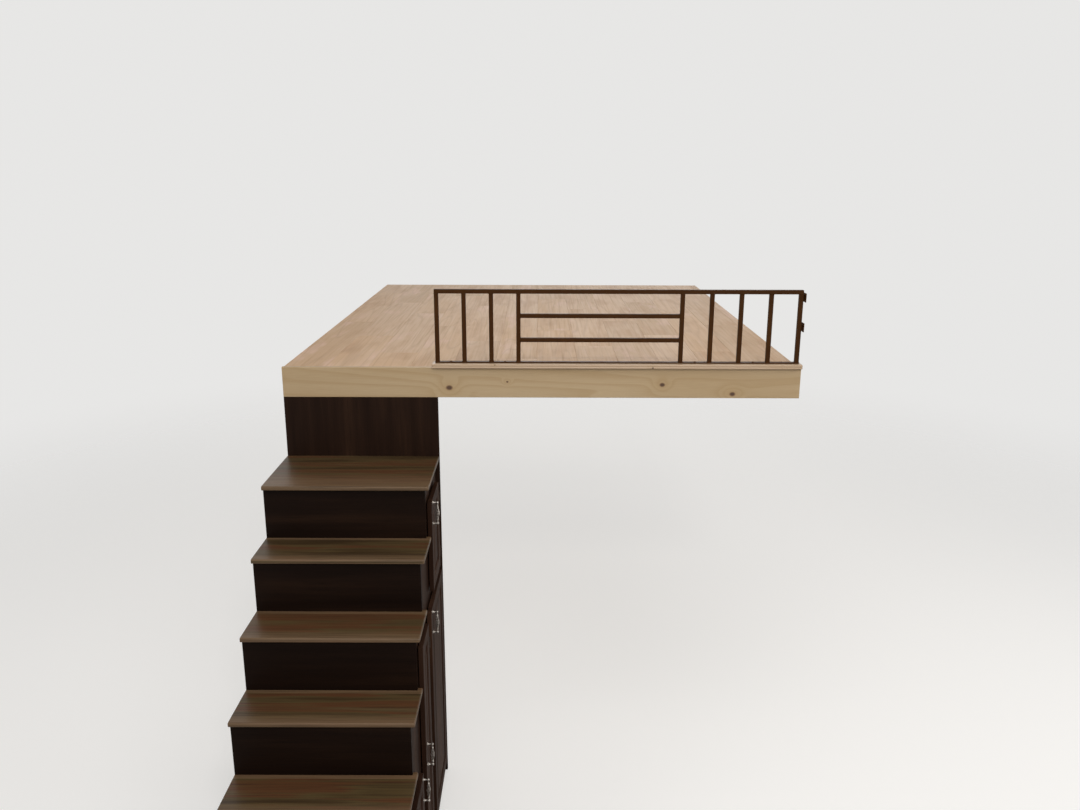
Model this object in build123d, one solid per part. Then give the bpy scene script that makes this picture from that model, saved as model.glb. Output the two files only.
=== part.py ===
from build123d import *
import os

# Sleeping loft of a small timber house on wheels, with a steel guardrail along its front edge
# and a storage stair that climbs to it. Sizes are millimetres, X runs from the left side wall
# to the right one, Y from the foot of the stair to the end wall, and Z up.
# While it is built, Y is 0 at the front face of the fascia and Z is 0 on the room's floor.

# Room that the loft is fitted into
INSIDE_WIDTH = 2360.0
LOFT_DEPTH = 2920.0
DECK_HEIGHT = 2112.0

# Loft timbers
JOIST_THICK = 38.0
JOIST_HEIGHT = 114.0
JOIST_COUNT = 6
FASCIA_THICK = 19.0
SUBFLOOR_THICK = 18.0
LAMINATE_THICK = 8.0
LAMINATE_EDGE_GAP = 6.0
BOARD_EDGE_ROUND = 2.5

# Ledger bolts, in two rows, as far from the ledger's ends and edges as these say
BOLT_HOLE_RADIUS = 5.5
BOLT_END_DISTANCE = 200.0
BOLT_EDGE_DISTANCE = 30.0

# Joist hangers, folded from steel strip
HANGER_STEEL = 2.0
HANGER_SEAT_LENGTH = 45.0
HANGER_HEIGHT = 90.0
HANGER_FLANGE = 32.0

# Guardrail, welded from square tube on a flat bar
GUARD_HEIGHT = 354.0
GUARD_START_X = -472.0
GUARD_END_GAP = 19.0
GUARD_TUBE = 19.0
GUARD_BAR_THICK = 6.0
GUARD_BAR_WIDTH = 25.0
GUARD_LEFT_SPACING = 122.7
GUARD_LEFT_GAP_COUNT = 3
GUARD_RIGHT_SPACING = 132.2
GUARD_RIGHT_GAP_COUNT = 4
GUARD_MID_BAR_COUNT = 2
GUARD_SETBACK = 22.0
BRACKET_PLATE = 40.0
BRACKET_STEEL = 4.0
BRACKET_HEIGHTS = (0.5, 0.9)

# Moulded cap under the guardrail
CAP_THICK = 19.0
CAP_OVERHANG = 18.0
CAP_WIDTH = 72.0
CAP_LEFT_MARGIN = 12.0
CAP_LIP_DROP = 4.0
CAP_LIP_DEPTH = 5.0

# Stair
STAIR_WIDTH = 706.0
LANDING_HEIGHT = 1690.0
LANDING_DEPTH = 422.0
RISER_COUNT = 7
STEP_RUN = 203.0
TREAD_THICK = 19.0
TREAD_NOSING = 22.0
TREAD_SIDE_OVERHANG = 19.0
TREAD_ROUND = 6.0
PANEL_THICK = 18.0
PLINTH_HEIGHT = 80.0
PLINTH_SETBACK = 50.0

# Face frames of the stair's cupboards, and the doors that lap over their openings
FRAME_THICK = 19.0
DOOR_THICK = 19.0
DOOR_BACK_GAP = 5.0
DOOR_BOTTOM = 100.0
DOOR_TOP_MARGIN = 68.0
LONG_DOOR_TOP_MARGIN = 43.0
DOOR_PULL_SIDE_MARGIN = 23.0
SHORT_DOOR_PULL_SIDE_MARGIN = 23.0
DOOR_HINGE_SIDE_MARGIN = 110.0
MIDDLE_DOOR_HINGE_SIDE_MARGIN = 208.0
TALL_DOOR_HINGE_SIDE_MARGIN = 60.0
TALL_DOOR_REACH = 95.0
LOW_DOOR_HINGE_SIDE_MARGIN = 30.0
LOW_DOOR_PULL_SIDE_MARGIN = 90.0
DOOR_BETWEEN = 45.0
DOOR_OVERLAP = 16.0
DOOR_STILE = 58.0
DOOR_PANEL_THICK = 7.0
DOOR_PANEL_SETBACK = 5.0
DOOR_GROOVE_DEPTH = 9.0
DOOR_GROOVE_PLAY = 0.4
DOOR_BEVEL = 3.0
FIELD_MARGIN = 3.0
FIELD_BEVEL = 28.0
FIELD_RISE = 5.5
DOOR_EDGE_ROUND = 1.5

# Pulls: a square bar on two feet, which swells towards its middle
PULL_CENTRES = 96.0
PULL_BAR = 9.0
PULL_SWELL = 17.0
PULL_SWELL_LENGTH = 60.0
PULL_SWELL_FLAT = 20.0
PULL_REACH = 30.0
PULL_DROP = 58.0
MIDDLE_PULL_DROP = 510.0

# Lift-off hinges, whose pin stands on the lower knuckle
HINGE_RADIUS = 4.0
HINGE_PIN_RADIUS = 1.9
HINGE_PIN_PLAY = 0.1
HINGE_EDGE_GAP = 1.0
HINGE_PROUD = 3.0
HINGE_LEAF = 4.0
HINGE_LEAF_DEPTH = 15.0
HINGE_FOOT = 18.0
HINGE_LENGTH = 48.0
HINGE_KNUCKLE_GAP = 0.3
HINGE_END_DISTANCE = 90.0
SHORT_HINGE_END_DISTANCE = 70.0

# Heights and places that follow from the sizes above
HALF_WIDTH = INSIDE_WIDTH / 2
SUBFLOOR_TOP = DECK_HEIGHT - LAMINATE_THICK
JOIST_TOP = SUBFLOOR_TOP - SUBFLOOR_THICK
JOIST_BOTTOM = JOIST_TOP - JOIST_HEIGHT
BEAM_BACK = FASCIA_THICK + JOIST_THICK
LEDGER_FRONT = LOFT_DEPTH - JOIST_THICK
JOIST_SPACING = (LEDGER_FRONT - BEAM_BACK) / (JOIST_COUNT + 1)
LEDGER_MIDDLE = (JOIST_TOP + JOIST_BOTTOM) / 2

CAP_TOP = DECK_HEIGHT + CAP_THICK
GUARD_TOP = DECK_HEIGHT + GUARD_HEIGHT
GUARD_Y = GUARD_SETBACK
GUARD_END_X = HALF_WIDTH - GUARD_END_GAP

WALL_X = -HALF_WIDTH
FACE_X = WALL_X + STAIR_WIDTH
FRAME_FACE_X = FACE_X - TREAD_SIDE_OVERHANG
FRAME_BACK_X = FRAME_FACE_X - FRAME_THICK
DOOR_BACK_X = FRAME_FACE_X + DOOR_BACK_GAP
DOOR_FRONT_X = DOOR_BACK_X + DOOR_THICK
SIDE_INNER_X = WALL_X + PANEL_THICK
RISE = LANDING_HEIGHT / RISER_COUNT
BASE_TOP = PLINTH_HEIGHT + PANEL_THICK

# Origin of the finished part: the middle of the rear ledger's face on the end wall
ORIGIN = (0.0, LOFT_DEPTH, LEDGER_MIDDLE)


def block(x, y, z):
    """A box that fills the given spans along X, Y and Z."""
    corner = Pos(x[0], y[0], z[0])
    low = (Align.MIN, Align.MIN, Align.MIN)
    return corner * Box(x[1] - x[0], y[1] - y[0], z[1] - z[0], align=low)


def nosing_y(step):
    """Front edge of tread number step; the landing is the last one."""
    return -LANDING_DEPTH - (RISER_COUNT - step) * STEP_RUN


def riser_y(step):
    """Front face of the riser under tread number step."""
    return nosing_y(step) + TREAD_NOSING


def box_start(step):
    """Where the cabinet box behind riser number step starts."""
    return riser_y(step) + PANEL_THICK


def tread_top(step):
    return RISE * step


def tread_underside(step):
    return tread_top(step) - TREAD_THICK


# Loft platform

def joist_places():
    return [BEAM_BACK + JOIST_SPACING * n for n in range(1, JOIST_COUNT + 1)]


def rounded_board(x, y, z, radius):
    """A board whose two long front edges are rounded."""
    board = block(x, y, z)
    front = board.edges().filter_by(Axis.X).group_by(Axis.Y)[0]
    return fillet(front, radius)


def fascia_board():
    across = (-HALF_WIDTH, HALF_WIDTH)
    return rounded_board(across, (0, FASCIA_THICK), (JOIST_BOTTOM, DECK_HEIGHT), BOARD_EDGE_ROUND)


def front_beam():
    return block((-HALF_WIDTH, HALF_WIDTH), (FASCIA_THICK, BEAM_BACK), (JOIST_BOTTOM, JOIST_TOP))


def bolt_offsets(length):
    """Bolt places along and across a ledger of the given length, from its middle."""
    along = length / 2 - BOLT_END_DISTANCE
    up = JOIST_HEIGHT / 2 - BOLT_EDGE_DISTANCE
    return [(a * along, b * up) for a in (-1, 1) for b in (-1, 1)]


def rear_ledger():
    ledger = block((-HALF_WIDTH, HALF_WIDTH), (LEDGER_FRONT, LOFT_DEPTH), (JOIST_BOTTOM, JOIST_TOP))
    drill = Rot(90, 0, 0) * Cylinder(BOLT_HOLE_RADIUS, 3 * JOIST_THICK)
    for along, up in bolt_offsets(INSIDE_WIDTH):
        ledger -= Pos(along, LEDGER_FRONT, LEDGER_MIDDLE + up) * drill
    return ledger


def side_ledger(side):
    """Ledger on the left wall for side -1, or on the right wall for side 1."""
    wall = side * HALF_WIDTH
    inner = side * (HALF_WIDTH - JOIST_THICK)
    across = (min(wall, inner), max(wall, inner))
    ledger = block(across, (BEAM_BACK, LEDGER_FRONT), (JOIST_BOTTOM, JOIST_TOP))
    drill = Rot(0, 90, 0) * Cylinder(BOLT_HOLE_RADIUS, 3 * JOIST_THICK)
    middle = (BEAM_BACK + LEDGER_FRONT) / 2
    for along, up in bolt_offsets(LEDGER_FRONT - BEAM_BACK):
        ledger -= Pos(wall, middle + along, LEDGER_MIDDLE + up) * drill
    return ledger


def joists():
    reach = HALF_WIDTH - JOIST_THICK
    half = JOIST_THICK / 2
    return [block((-reach, reach), (y - half, y + half), (JOIST_BOTTOM, JOIST_TOP)) for y in joist_places()]


def joist_hanger(y, side):
    """A folded saddle under one end of the joist at y, nailed to the ledger on that side."""
    wall = side * (HALF_WIDTH - JOIST_THICK)
    half = JOIST_THICK / 2
    top = JOIST_BOTTOM + HANGER_HEIGHT

    def span(depth):
        return (min(wall, wall - side * depth), max(wall, wall - side * depth))

    outer = half + HANGER_STEEL
    seat = block(span(HANGER_SEAT_LENGTH), (y - outer, y + outer), (JOIST_BOTTOM - HANGER_STEEL, JOIST_BOTTOM))
    saddle = seat
    for hand in (-1, 1):
        cheek_y = sorted((y + hand * half, y + hand * outer))
        saddle += block(span(HANGER_SEAT_LENGTH), cheek_y, (JOIST_BOTTOM, top))
        flange_y = sorted((y + hand * half, y + hand * (outer + HANGER_FLANGE)))
        saddle += block(span(HANGER_STEEL), flange_y, (JOIST_BOTTOM, top))
    return saddle


def joist_hangers():
    return [joist_hanger(y, side) for y in joist_places() for side in (-1, 1)]


def subfloor():
    return block((-HALF_WIDTH, HALF_WIDTH), (FASCIA_THICK, LOFT_DEPTH), (JOIST_TOP, SUBFLOOR_TOP))


def laminate_floor():
    reach = HALF_WIDTH - LAMINATE_EDGE_GAP
    return block((-reach, reach), (FASCIA_THICK, LOFT_DEPTH - LAMINATE_EDGE_GAP), (SUBFLOOR_TOP, DECK_HEIGHT))


# Guardrail

def rail_cap():
    """Moulded cap that the guardrail stands on, with a lip down over the fascia's face."""
    left = GUARD_START_X - GUARD_TUBE / 2 - CAP_LEFT_MARGIN
    across = (left, HALF_WIDTH)
    back = CAP_WIDTH - CAP_OVERHANG
    cap = rounded_board(across, (-CAP_OVERHANG, back), (DECK_HEIGHT, CAP_TOP), CAP_THICK / 4)
    lip = block(across, (-CAP_LIP_DEPTH, 0), (DECK_HEIGHT - CAP_LIP_DROP, DECK_HEIGHT))
    return cap + lip


def upright(x, size, low, high):
    half = size / 2
    return block((x - half, x + half), (GUARD_Y - half, GUARD_Y + half), (low, high))


def guard_upright_places():
    """Middles of the end posts, the posts beside the barred panel, and the balusters."""
    panel_left = GUARD_START_X + GUARD_LEFT_GAP_COUNT * GUARD_LEFT_SPACING
    panel_right = GUARD_END_X - GUARD_RIGHT_GAP_COUNT * GUARD_RIGHT_SPACING
    posts = [GUARD_START_X, panel_left, panel_right, GUARD_END_X]
    balusters = [GUARD_START_X + n * GUARD_LEFT_SPACING for n in range(1, GUARD_LEFT_GAP_COUNT)]
    balusters += [panel_right + n * GUARD_RIGHT_SPACING for n in range(1, GUARD_RIGHT_GAP_COUNT)]
    return posts, balusters


def guard_top_rail():
    half = GUARD_TUBE / 2
    across = (GUARD_START_X - half, GUARD_END_X + half)
    return block(across, (GUARD_Y - half, GUARD_Y + half), (GUARD_TOP - GUARD_TUBE, GUARD_TOP))


def guard_bottom_bar():
    across = (GUARD_START_X - GUARD_TUBE / 2, GUARD_END_X + GUARD_TUBE / 2)
    deep = (GUARD_Y - GUARD_BAR_WIDTH / 2, GUARD_Y + GUARD_BAR_WIDTH / 2)
    return block(across, deep, (CAP_TOP, CAP_TOP + GUARD_BAR_THICK))


def guard_uprights():
    posts, balusters = guard_upright_places()
    return [upright(x, GUARD_TUBE, CAP_TOP + GUARD_BAR_THICK, GUARD_TOP - GUARD_TUBE) for x in posts + balusters]


def guard_mid_bars():
    """Level bars of the middle panel, which share its height out evenly."""
    posts, _ = guard_upright_places()
    half = GUARD_TUBE / 2
    low = CAP_TOP + GUARD_BAR_THICK
    pitch = (GUARD_TOP - GUARD_TUBE - low + GUARD_TUBE) / (GUARD_MID_BAR_COUNT + 1)
    bars = []
    for n in range(1, GUARD_MID_BAR_COUNT + 1):
        top = low + n * pitch
        bars.append(
            block((posts[1] + half, posts[2] - half), (GUARD_Y - half, GUARD_Y + half), (top - GUARD_TUBE, top))
        )
    return bars


def guard_wall_brackets():
    """Plates on the right wall, each with a tab welded to the end post."""
    low = CAP_TOP
    clear = GUARD_TOP - low
    half = BRACKET_PLATE / 2
    brackets = []
    for share in BRACKET_HEIGHTS:
        z = low + share * clear
        plate_x = (HALF_WIDTH - BRACKET_STEEL, HALF_WIDTH)
        plate = block(plate_x, (GUARD_Y - half, GUARD_Y + half), (z - half, z + half))
        tab_x = (GUARD_END_X + GUARD_TUBE / 2, HALF_WIDTH - BRACKET_STEEL)
        tab_y = (GUARD_Y - BRACKET_STEEL / 2, GUARD_Y + BRACKET_STEEL / 2)
        brackets.append(plate + block(tab_x, tab_y, (z - half / 2, z + half / 2)))
    return brackets


# Stair carcass

def tread_board(y, z):
    """A tread with its front and its free end rounded."""
    board = block((WALL_X, FACE_X), y, z)
    front = board.edges().filter_by(Axis.X).group_by(Axis.Y)[0]
    end = board.edges().filter_by(Axis.Y).group_by(Axis.X)[-1]
    corner = board.edges().filter_by(Axis.Z).group_by(Axis.X)[-1].group_by(Axis.Y)[0]
    return fillet(front + end + corner, TREAD_ROUND)


def tread(step):
    """A tread that runs back under the next riser."""
    return tread_board((nosing_y(step), box_start(step + 1)), (tread_underside(step), tread_top(step)))


def landing():
    return tread_board((nosing_y(RISER_COUNT), 0), (LANDING_HEIGHT - TREAD_THICK, LANDING_HEIGHT))


def risers():
    boards = []
    for step in range(1, RISER_COUNT + 1):
        deep = (riser_y(step), box_start(step))
        boards.append(block((WALL_X, FRAME_FACE_X), deep, (tread_top(step - 1), tread_underside(step))))
    return boards


def stepped_sheet(x, first, last, bottom):
    """An upright sheet under treads first to last, cut to the line of the steps."""
    sheet = None
    for step in range(first, last + 1):
        end = 0 if step == RISER_COUNT else box_start(step + 1)
        piece = block(x, (box_start(step), end), (bottom, tread_underside(step)))
        sheet = piece if sheet is None else sheet + piece
    return sheet


def wall_side_panel():
    return stepped_sheet((WALL_X, SIDE_INNER_X), 1, RISER_COUNT, 0)


def back_panel():
    """Sheet behind the stair, which runs up to the loft's underside above the landing."""
    return block((WALL_X, FACE_X), (0, PANEL_THICK), (0, JOIST_BOTTOM))


def base_panel():
    return block((SIDE_INNER_X, FRAME_BACK_X), (box_start(1), 0), (PLINTH_HEIGHT, BASE_TOP))


def plinth_boards():
    right = FACE_X - PLINTH_SETBACK
    middle = (SIDE_INNER_X + right) / 2
    deep = (box_start(1), 0)
    return [block((x - PANEL_THICK, x), deep, (0, PLINTH_HEIGHT)) for x in (middle, right)]


# Cupboards in the stair: a bay runs from its first tread to the next bay's first tread

FOOT_BAY = (1, RISER_COUNT - 4)
LOW_BAY = (RISER_COUNT - 4, RISER_COUNT - 2)
MIDDLE_BAY = (RISER_COUNT - 2, RISER_COUNT)
TALL_BAY = (RISER_COUNT, RISER_COUNT + 1)


def bay_end(bay):
    return 0 if bay is TALL_BAY else box_start(bay[1])


def bay_walls():
    """Upright sheets at the near side of the low, middle and tall bays."""
    walls = []
    for bay in (LOW_BAY, MIDDLE_BAY, TALL_BAY):
        deep = (box_start(bay[0]), box_start(bay[0]) + PANEL_THICK)
        walls.append(block((SIDE_INNER_X, FRAME_BACK_X), deep, (BASE_TOP, tread_underside(bay[0]))))
    return walls


def tall_bay_shelf():
    deep = (box_start(TALL_BAY[0]) + PANEL_THICK, 0)
    middle = tall_door_height()[1] + DOOR_BETWEEN / 2
    return block((SIDE_INNER_X, FRAME_BACK_X), deep, (middle - PANEL_THICK / 2, middle + PANEL_THICK / 2))


def bay_face(bay):
    """Plain sheet behind the doors of a bay, cut to the line of the steps."""
    return stepped_sheet((FRAME_BACK_X, FRAME_FACE_X), bay[0], bay[1] - 1, PLINTH_HEIGHT)


def opening(span, high):
    """A cutter for a face frame's opening, which its door laps over on all sides."""
    return block(grown((FRAME_BACK_X, FRAME_FACE_X), 1), grown(span, -DOOR_OVERLAP), grown(high, -DOOR_OVERLAP))


def low_bay_face():
    return bay_face(LOW_BAY) - opening(low_door_span(), low_door_height())


def middle_bay_face():
    return bay_face(MIDDLE_BAY) - opening(middle_door_span(), middle_door_height())


def tall_bay_face():
    face = bay_face(TALL_BAY)
    for high in (tall_door_height(), short_door_height()):
        face -= opening(short_door_span(), high)
    return face


# Doors, with their pulls on the side away from the hinges

def short_door_span():
    return (riser_y(TALL_BAY[0]) + SHORT_DOOR_PULL_SIDE_MARGIN, bay_end(TALL_BAY) - DOOR_HINGE_SIDE_MARGIN)


def tall_door_span():
    """The tall door is wider than its opening: it also covers the stiles of the face frame."""
    return (riser_y(TALL_BAY[0]) - TALL_DOOR_REACH, bay_end(TALL_BAY) - TALL_DOOR_HINGE_SIDE_MARGIN)


def middle_door_span():
    return (riser_y(MIDDLE_BAY[0]) + DOOR_PULL_SIDE_MARGIN, bay_end(MIDDLE_BAY) - MIDDLE_DOOR_HINGE_SIDE_MARGIN)


def low_door_span():
    return (riser_y(LOW_BAY[0]) + LOW_DOOR_HINGE_SIDE_MARGIN, bay_end(LOW_BAY) - LOW_DOOR_PULL_SIDE_MARGIN)


def foot_panel_span():
    return (riser_y(2) + DOOR_PULL_SIDE_MARGIN, bay_end(FOOT_BAY) - DOOR_PULL_SIDE_MARGIN)


def middle_door_height():
    return (DOOR_BOTTOM, tread_underside(MIDDLE_BAY[0]) - LONG_DOOR_TOP_MARGIN)


def tall_door_height():
    return middle_door_height()


def short_door_height():
    return (tall_door_height()[1] + DOOR_BETWEEN, tread_underside(TALL_BAY[0]) - DOOR_TOP_MARGIN)


def low_door_height():
    return (DOOR_BOTTOM, tread_underside(LOW_BAY[0]) - DOOR_TOP_MARGIN)


def foot_panel_height():
    return (DOOR_BOTTOM, tread_underside(2) - DOOR_TOP_MARGIN)


def grown(span, by):
    return (span[0] - by, span[1] + by)


def framed_board(back_x, deep, high):
    """A board with rounded face edges and a bevelled field between its stiles and rails."""
    board = block((back_x, DOOR_FRONT_X), deep, high)
    board = fillet(board.edges().group_by(Axis.X)[-1], DOOR_EDGE_ROUND)
    inner_y, inner_z = grown(deep, -DOOR_STILE), grown(high, -DOOR_STILE)
    board -= block((door_panel_x()[1], DOOR_FRONT_X + 1), inner_y, inner_z)
    rim = [
        edge
        for edge in board.edges().group_by(Axis.X)[-1]
        if deep[0] + DOOR_STILE / 2 < edge.center().Y < deep[1] - DOOR_STILE / 2
        and high[0] + DOOR_STILE / 2 < edge.center().Z < high[1] - DOOR_STILE / 2
    ]
    return chamfer(rim, DOOR_BEVEL)


def raised_field(deep, high):
    """The field of a panel, which stands forward between four bevels, narrower ones on a narrow panel."""
    wide, tall = (grown(side, -DOOR_STILE - FIELD_MARGIN) for side in (deep, high))
    across, up = wide[1] - wide[0], tall[1] - tall[0]
    bevel = min(FIELD_BEVEL, across / 3)
    inner = (bevel, bevel, across - bevel, up - bevel)
    field = Wedge(across, FIELD_RISE, up, *inner, align=(Align.MIN, Align.MIN, Align.MIN))
    return Pos(door_panel_x()[1], wide[1], tall[0]) * Rot(0, 0, -90) * field


def foot_panel():
    """A fixed panel that looks like the doors, in front of the lowest bay."""
    deep, high = foot_panel_span(), foot_panel_height()
    return framed_board(FRAME_FACE_X, deep, high) + raised_field(deep, high)


def door_frame(deep, high):
    """Stiles and rails of a door, with a groove all round that holds the panel."""
    board = framed_board(DOOR_BACK_X, deep, high)
    inner_y, inner_z = grown(deep, -DOOR_STILE), grown(high, -DOOR_STILE)
    board -= block((DOOR_BACK_X - 1, door_panel_x()[1]), inner_y, inner_z)
    return board - block(door_panel_x(), grown(inner_y, DOOR_GROOVE_DEPTH), grown(inner_z, DOOR_GROOVE_DEPTH))


def door_panel_x():
    return (DOOR_BACK_X + DOOR_PANEL_SETBACK, DOOR_BACK_X + DOOR_PANEL_SETBACK + DOOR_PANEL_THICK)


def door_panel(deep, high):
    held = DOOR_GROOVE_DEPTH - DOOR_GROOVE_PLAY - DOOR_STILE
    return block(door_panel_x(), grown(deep, held), grown(high, held)) + raised_field(deep, high)


# Pulls

def swelling_bar():
    """An upright bar around the Z axis, with the same outline seen from the side and from the front."""
    half = (PULL_CENTRES + PULL_BAR) / 2
    lower = [(PULL_BAR / 2, -half), (PULL_BAR / 2, -PULL_SWELL_LENGTH / 2), (PULL_SWELL / 2, -PULL_SWELL_FLAT / 2)]
    right = lower + [(x, -z) for x, z in reversed(lower)]
    outline = make_face(Polyline(*right, *[(-x, z) for x, z in reversed(right)], close=True))
    seen_both_ways = [extrude(plane * outline, PULL_SWELL, both=True) for plane in (Plane.XZ, Plane.YZ)]
    return seen_both_ways[0] & seen_both_ways[1]


def pull_axis_x():
    return DOOR_FRONT_X + PULL_REACH - PULL_SWELL / 2


def upright_pull(y, z):
    """A pull on a door's face, with its bar upright."""
    pull = Pos(pull_axis_x(), y, z) * swelling_bar()
    for hand in (-1, 1):
        middle = z + hand * PULL_CENTRES / 2
        foot_x = (DOOR_FRONT_X, pull_axis_x())
        pull += block(foot_x, grown((y, y), PULL_BAR / 2), grown((middle, middle), PULL_BAR / 2))
    return pull


# Hinges

class Door:
    """Place of a door: its span and height, the side of its hinges (1 far, -1 near) and its pull."""

    def __init__(self, span, high, side, pull_drop, hinge_end):
        self.span, self.high, self.side = span, high, side
        self.hinge_edge = span[1] if side > 0 else span[0]
        pull_edge = span[0] if side > 0 else span[1]
        self.pull_y = pull_edge + side * DOOR_STILE / 2
        self.pull_z = high[1] - pull_drop
        self.axis_x = DOOR_FRONT_X + HINGE_PROUD - HINGE_RADIUS
        self.axis_y = self.hinge_edge + side * (HINGE_EDGE_GAP + HINGE_RADIUS)
        self.hinge_heights = (high[0] + hinge_end, high[1] - hinge_end)


def doors():
    return {
        "short_door": Door(short_door_span(), short_door_height(), 1, PULL_DROP, SHORT_HINGE_END_DISTANCE),
        "tall_door": Door(tall_door_span(), tall_door_height(), 1, PULL_DROP, HINGE_END_DISTANCE),
        "middle_door": Door(middle_door_span(), middle_door_height(), 1, MIDDLE_PULL_DROP, HINGE_END_DISTANCE),
        "low_door": Door(low_door_span(), low_door_height(), -1, PULL_DROP, HINGE_END_DISTANCE),
    }


def between(a, b):
    return (min(a, b), max(a, b))


def fixed_hinge(door, z):
    """The leaf on the face frame, with the lower knuckle and the pin that stands on it."""
    x, y = door.axis_x, door.axis_y
    half = HINGE_LENGTH / 2
    low = (z - half, z - HINGE_KNUCKLE_GAP)
    hinge = Pos(x, y, z) * Cylinder(HINGE_PIN_RADIUS, HINGE_LENGTH)
    hinge += Pos(x, y, sum(low) / 2) * Cylinder(HINGE_RADIUS, low[1] - low[0])
    hinge += block((FRAME_FACE_X, x), grown((y, y), HINGE_LEAF / 2), low)
    foot = between(y - door.side * HINGE_LEAF / 2, y + door.side * HINGE_FOOT)
    return hinge + block((FRAME_FACE_X, FRAME_FACE_X + HINGE_LEAF / 2), foot, grown((z, z), half))


def door_hinge(door, z):
    """The leaf on the door's edge, with the upper knuckle, bored for the pin."""
    x, y = door.axis_x, door.axis_y
    high = (z + HINGE_KNUCKLE_GAP, z + HINGE_LENGTH / 2)
    hinge = Pos(x, y, sum(high) / 2) * Cylinder(HINGE_RADIUS, high[1] - high[0])
    hinge += block((DOOR_FRONT_X - HINGE_LEAF_DEPTH, x), between(door.hinge_edge, y), high)
    return hinge - Pos(x, y, z) * Cylinder(HINGE_PIN_RADIUS + HINGE_PIN_PLAY, 2 * HINGE_LENGTH)


def frame_hinges():
    return [fixed_hinge(door, z) for door in doors().values() for z in door.hinge_heights]


# All the pieces, by node name

def pieces():
    made = {
        "fascia_board": fascia_board(),
        "front_beam": front_beam(),
        "rear_ledger": rear_ledger(),
        "side_ledgers": [side_ledger(-1), side_ledger(1)],
        "joists": joists(),
        "joist_hangers": joist_hangers(),
        "subfloor": subfloor(),
        "laminate_floor": laminate_floor(),
        "rail_cap": rail_cap(),
        "guard_top_rail": guard_top_rail(),
        "guard_bottom_bar": guard_bottom_bar(),
        "guard_uprights": guard_uprights(),
        "guard_mid_bars": guard_mid_bars(),
        "guard_wall_brackets": guard_wall_brackets(),
        "treads": [tread(step) for step in range(1, RISER_COUNT)],
        "landing": landing(),
        "risers": risers(),
        "wall_side_panel": wall_side_panel(),
        "back_panel": back_panel(),
        "base_panel": base_panel(),
        "plinth_boards": plinth_boards(),
        "bay_walls": bay_walls(),
        "tall_bay_shelf": tall_bay_shelf(),
        "foot_bay_face": bay_face(FOOT_BAY),
        "low_bay_face": low_bay_face(),
        "middle_bay_face": middle_bay_face(),
        "tall_bay_face": tall_bay_face(),
        "foot_panel": foot_panel(),
        "frame_hinges": frame_hinges(),
    }
    for name, door in doors().items():
        made[f"{name}_frame"] = door_frame(door.span, door.high)
        made[f"{name}_panel"] = door_panel(door.span, door.high)
        made[f"{name}_pull"] = upright_pull(door.pull_y, door.pull_z)
        made[f"{name}_hinges"] = [door_hinge(door, z) for z in door.hinge_heights]
    return made


def main():
    os.makedirs("parts", exist_ok=True)
    to_origin = Location((-ORIGIN[0], -ORIGIN[1], -ORIGIN[2]))
    for name, made in pieces().items():
        solids = made if isinstance(made, list) else [made]
        body = Compound(children=[Compound(s.moved(to_origin).solids()) for s in solids])
        export_step(body, f"parts/{name}.step")


main()
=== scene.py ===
import math
import random

import bmesh
import bpy
from mathutils import Matrix, Vector


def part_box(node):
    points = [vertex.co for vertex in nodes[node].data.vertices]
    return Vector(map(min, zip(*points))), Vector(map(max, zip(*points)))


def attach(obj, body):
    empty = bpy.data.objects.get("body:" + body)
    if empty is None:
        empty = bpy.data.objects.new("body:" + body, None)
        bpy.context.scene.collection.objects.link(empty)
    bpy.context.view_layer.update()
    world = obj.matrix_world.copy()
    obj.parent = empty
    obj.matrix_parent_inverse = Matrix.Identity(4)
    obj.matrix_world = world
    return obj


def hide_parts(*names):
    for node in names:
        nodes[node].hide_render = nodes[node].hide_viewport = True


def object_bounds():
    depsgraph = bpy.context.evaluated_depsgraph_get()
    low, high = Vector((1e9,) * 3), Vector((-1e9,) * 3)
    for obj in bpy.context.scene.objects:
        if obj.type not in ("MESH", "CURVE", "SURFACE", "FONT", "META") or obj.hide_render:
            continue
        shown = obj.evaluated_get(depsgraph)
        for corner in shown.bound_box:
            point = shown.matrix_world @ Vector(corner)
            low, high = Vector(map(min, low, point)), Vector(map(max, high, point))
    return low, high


# Looks of the sleeping loft, its guardrail and its storage stair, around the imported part.
# Lengths are metres in the part's own frame: X to the right, Y towards the end wall, Z up.

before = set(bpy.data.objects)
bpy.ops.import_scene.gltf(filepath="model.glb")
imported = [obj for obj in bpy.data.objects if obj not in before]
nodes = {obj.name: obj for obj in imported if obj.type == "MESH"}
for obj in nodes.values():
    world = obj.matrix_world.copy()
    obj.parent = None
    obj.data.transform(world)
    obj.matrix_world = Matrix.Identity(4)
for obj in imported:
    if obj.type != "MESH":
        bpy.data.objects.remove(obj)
cad_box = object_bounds()
scene = bpy.context.scene
scene.view_settings.view_transform = "Standard"


# Camera, at the photograph's eye point

CAMERA_PLACE = (-0.0043, -6.9644, 0.9804)
CAMERA_PITCH_DOWN = 0.2591
CAMERA_YAW = 0.0003
CAMERA_ROLL = 0.0028
CAMERA_LENS = 30.39


def make_camera():
    data = bpy.data.cameras.new("camera")
    data.lens = CAMERA_LENS
    data.sensor_width = 36.0
    camera = bpy.data.objects.new("camera", data)
    turn = Matrix.Rotation(CAMERA_YAW, 4, "Z") @ Matrix.Rotation(math.pi / 2 - CAMERA_PITCH_DOWN, 4, "X")
    camera.matrix_world = Matrix.Translation(CAMERA_PLACE) @ turn @ Matrix.Rotation(CAMERA_ROLL, 4, "Z")
    scene.collection.objects.link(camera)
    scene.camera = camera


# Shader graphs

COAT_ROUGHNESS = 0.25


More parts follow.
